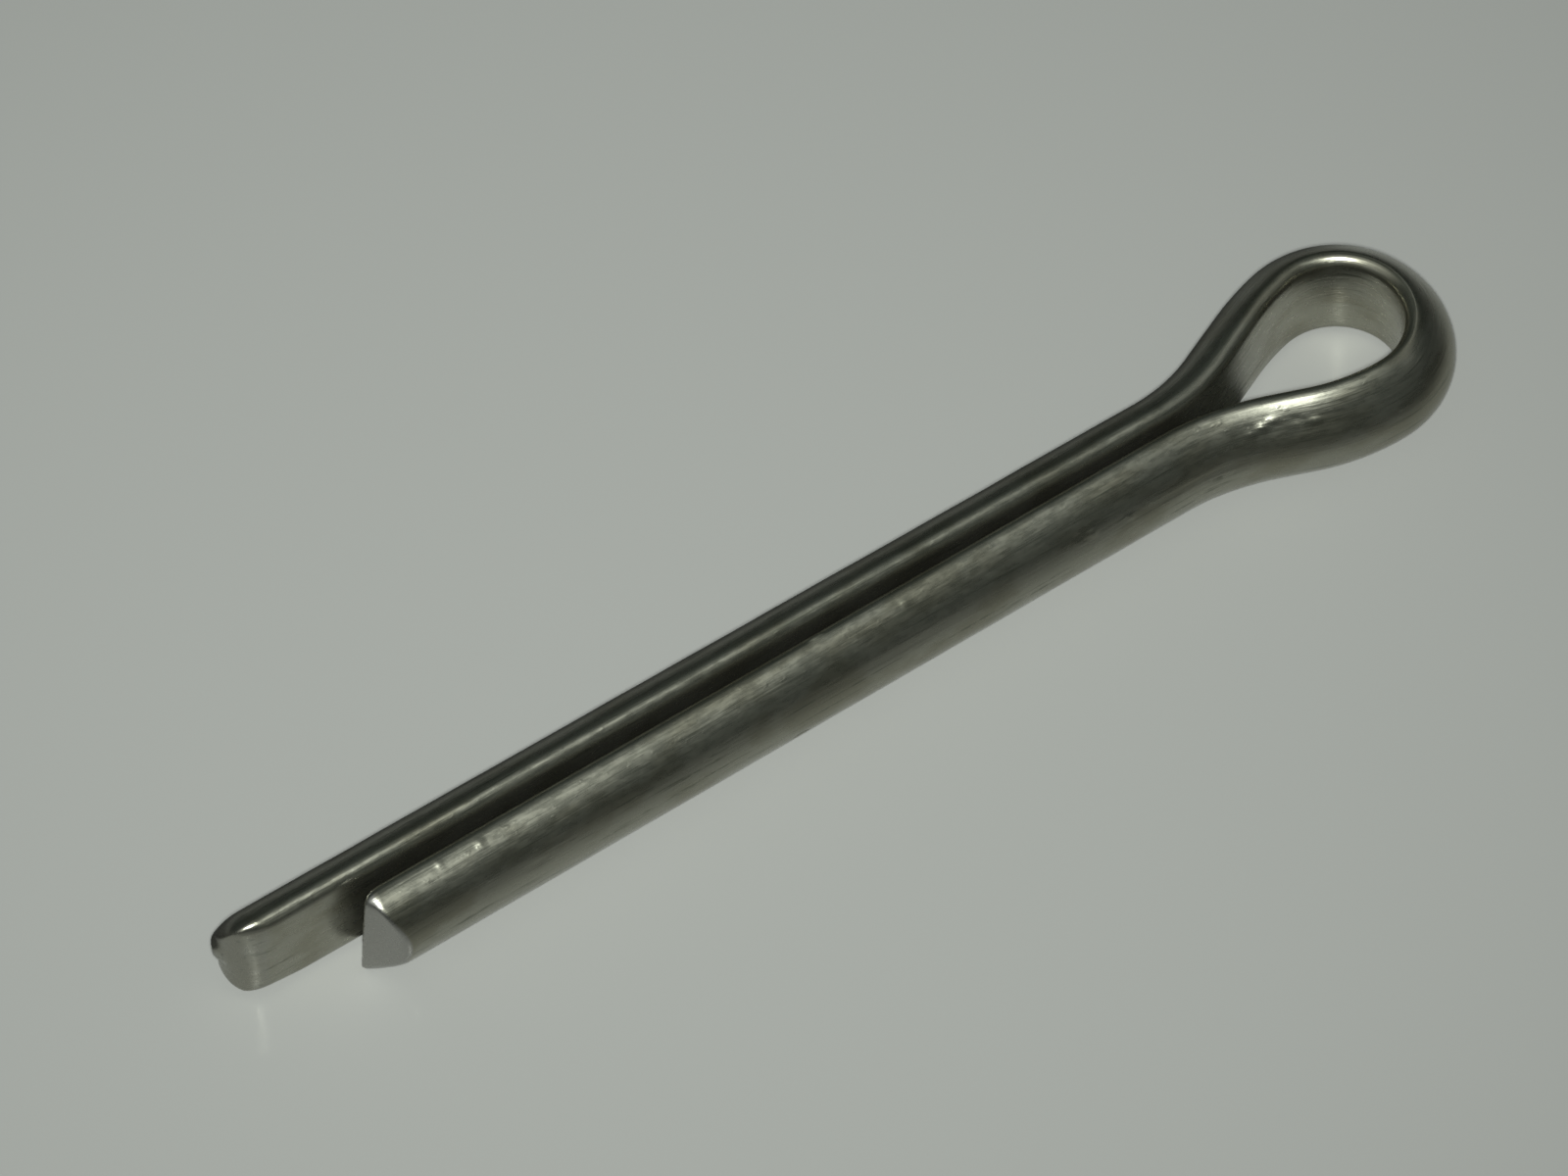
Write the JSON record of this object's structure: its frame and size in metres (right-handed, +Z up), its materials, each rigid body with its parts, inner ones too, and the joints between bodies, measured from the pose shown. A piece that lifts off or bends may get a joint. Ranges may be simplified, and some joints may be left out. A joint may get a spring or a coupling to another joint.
{
  "type": "cotter pin",
  "caption": "Split pin bent from half-round steel wire: a round shank of two legs, one longer, with sheared ends and a teardrop eye.",
  "frame": {"origin": "on the surface the pin lies on, under the middle of its outer box", "axes": "+X along the shank from the tips to the eye, +Y from the short leg to the long leg, +Z up, across the flat faces"},
  "size_m": [0.0439, 0.0072, 0.0035],
  "materials": {
    "steel_wire": "satin"
  },
  "bodies": {
    "root": {"pin": "steel_wire"}
  },
  "joints": []
}
